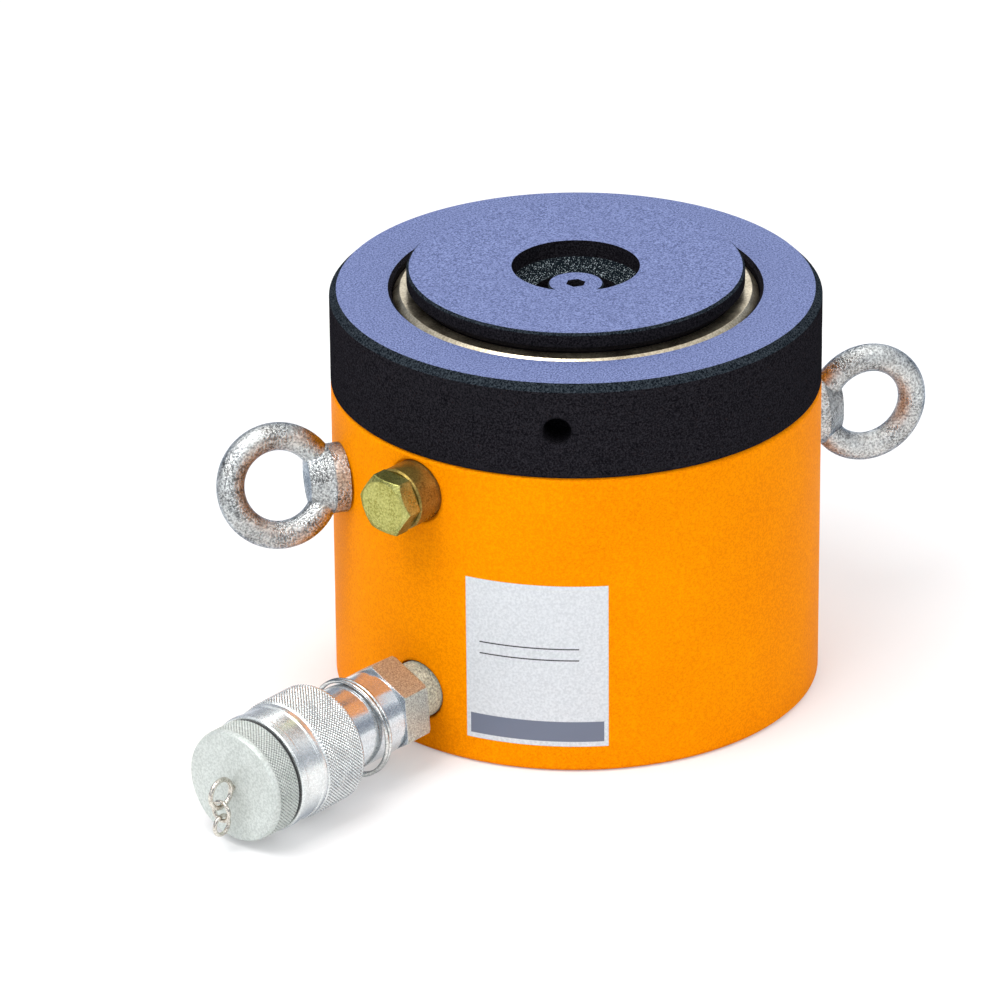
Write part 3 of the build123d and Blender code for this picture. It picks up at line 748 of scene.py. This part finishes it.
def make_label():
    """A plain sticker wrapped on the body."""
    start, end = radians(-134.6), radians(-101.1)
    low, high = 8.0 * MM, 58.0 * MM
    radius = BODY_R + 0.06 * MM
    steps = 40
    verts, uvs = [], []
    for i in range(steps + 1):
        angle = start + (end - start) * i / steps
        for z, v in ((low, 0.0), (high, 1.0)):
            verts.append((radius * cos(angle), radius * sin(angle), z))
            uvs.append((i / steps, v))
    faces = [(2 * i, 2 * i + 2, 2 * i + 3, 2 * i + 1) for i in range(steps)]
    mesh = bpy.data.meshes.new("data_label")
    mesh.from_pydata(verts, [], faces)
    layer = mesh.uv_layers.new(name="UVMap")
    for loop in mesh.loops:
        layer.data[loop.index].uv = uvs[loop.vertex_index]
    mesh.materials.append(label_material())
    mesh.shade_smooth()
    piece = bpy.data.objects.new("data_label", mesh)
    scene.collection.objects.link(piece)
    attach(piece, "cylinder")


# Stage: the tones from the horizon up, by which the sky lights and which the flag shows the metal
TONES = (
    (0.60, 0.61, 0.62),
    (0.34, 0.37, 0.43),
    (0.20, 0.24, 0.31),
    (0.62, 0.65, 0.70),
    (1.0, 1.0, 1.0),
)
SKY_RISES = (0.0, 0.10, 0.30, 0.50, 0.80)
FLAG_HEIGHTS = (0.0, 0.31, 0.85, 1.50, 3.4)
FLAG_TOP = FLAG_HEIGHTS[-1]

# Softboxes: azimuth from the camera's side, elevation, distance, width, height, power
SOFTBOXES = {
    "key": (-46, 62, 1.6, 0.9, 0.9, 16),
    "fill": (48, 34, 1.6, 1.0, 0.8, 4),
    "front": (-30, 24, 1.7, 1.0, 0.6, 3),
    "back": (165, 42, 1.5, 1.0, 0.7, 4),
}


def seen_rays(tree):
    """1 for the rays that show the background: the camera's, and those off metal and glass."""
    path = tree.nodes.new("ShaderNodeLightPath").outputs
    seen = maths(tree, "ADD", path["Is Camera Ray"], path["Is Glossy Ray"], clamp=True)
    return maths(tree, "ADD", seen, path["Is Transmission Ray"], clamp=True)


def stage_piece(name, verts, faces):
    mesh = bpy.data.meshes.new(name)
    mesh.from_pydata(verts, [], faces)
    piece = bpy.data.objects.new(name, mesh)
    scene.collection.objects.link(piece)
    return piece


def make_floor():
    """A white floor that keeps the shadow, and whitens to the sky away from the object."""
    size = 6.0
    corners = [(-size, -size, 0), (size, -size, 0), (size, size, 0), (-size, size, 0)]
    floor = stage_piece("floor", corners, [(0, 1, 2, 3)])
    floor.location.z = -0.2 * MM
    material, tree, shader = new_material("floor_white")
    shader.inputs["Base Color"].default_value = (0.88, 0.88, 0.88, 1)
    shader.inputs["Roughness"].default_value = 0.9
    shader.inputs["Specular IOR Level"].default_value = 0.0
    white = tree.nodes.new("ShaderNodeEmission")
    reach = tree.nodes.new("ShaderNodeVectorMath")
    reach.operation = "LENGTH"
    tree.links.new(object_coords(tree), reach.inputs[0])
    lift = map_range(tree, reach.outputs["Value"], 0.35, 0.90, 0.30, 1.0)
    blend = tree.nodes.new("ShaderNodeMixShader")
    tree.links.new(maths(tree, "MULTIPLY", seen_rays(tree), lift), blend.inputs["Fac"])
    tree.links.new(shader.outputs["BSDF"], blend.inputs[1])
    tree.links.new(white.outputs["Emission"], blend.inputs[2])
    tree.links.new(blend.outputs["Shader"], tree.nodes["Material Output"].inputs["Surface"])
    floor.data.materials.append(material)


def make_world():
    """A white sky as it is seen, and a sky of tones as it lights."""
    world = bpy.data.worlds.new("studio")
    scene.world = world
    world.use_nodes = True
    tree = world.node_tree
    background = tree.nodes["Background"]
    coords = tree.nodes.new("ShaderNodeTexCoord").outputs["Generated"]
    sky = color_stops(tree, axes(tree, coords)["Z"], tuple(zip(SKY_RISES, TONES)))
    seen = mix_color(tree, seen_rays(tree), sky, (1.0, 1.0, 1.0))
    tree.links.new(seen, background.inputs["Color"])
    background.inputs["Strength"].default_value = 1.0


def make_softboxes():
    for name, (azimuth, elevation, distance, width, height, power) in SOFTBOXES.items():
        data = bpy.data.lights.new(name, "AREA")
        data.shape = "RECTANGLE"
        data.size = width
        data.size_y = height
        data.energy = power
        lamp = bpy.data.objects.new(name, data)
        scene.collection.objects.link(lamp)
        away = toward(VIEW_AZIMUTH + radians(azimuth), radians(elevation))
        lamp.location = LOOK_AT + away * distance
        lamp.rotation_mode = "QUATERNION"
        lamp.rotation_quaternion = away.to_track_quat("Z", "Y")


def make_flag():
    """A dark flag all round the stage, which gives the metal its dark bands and blocks no light."""
    reach, steps = 2.5, 48
    verts = []
    for z in (0.0, FLAG_TOP):
        for i in range(steps):
            angle = 2 * pi * i / steps
            verts.append((reach * cos(angle), reach * sin(angle), z))
    faces = [(i, (i + 1) % steps, steps + (i + 1) % steps, steps + i) for i in range(steps)]
    flag = stage_piece("flag", verts, faces)
    flag.visible_camera = False
    flag.visible_diffuse = False
    flag.visible_transmission = False
    flag.visible_shadow = False
    material, tree, _ = new_material("flag")
    glow = tree.nodes.new("ShaderNodeEmission")
    rise = maths(tree, "DIVIDE", axes(tree, object_coords(tree))["Z"], FLAG_TOP)
    stops = tuple((height / FLAG_TOP, tone) for height, tone in zip(FLAG_HEIGHTS, TONES))
    tree.links.new(color_stops(tree, rise, stops), glow.inputs["Color"])
    tree.links.new(glow.outputs["Emission"], tree.nodes["Material Output"].inputs["Surface"])
    flag.data.materials.append(material)


make_camera()
dress_nodes()
make_sleeve()
make_cap()
make_plunger()
make_plug()
make_lanyard()
make_label()
make_floor()
make_world()
make_softboxes()
make_flag()

scene.view_settings.view_transform = "Standard"
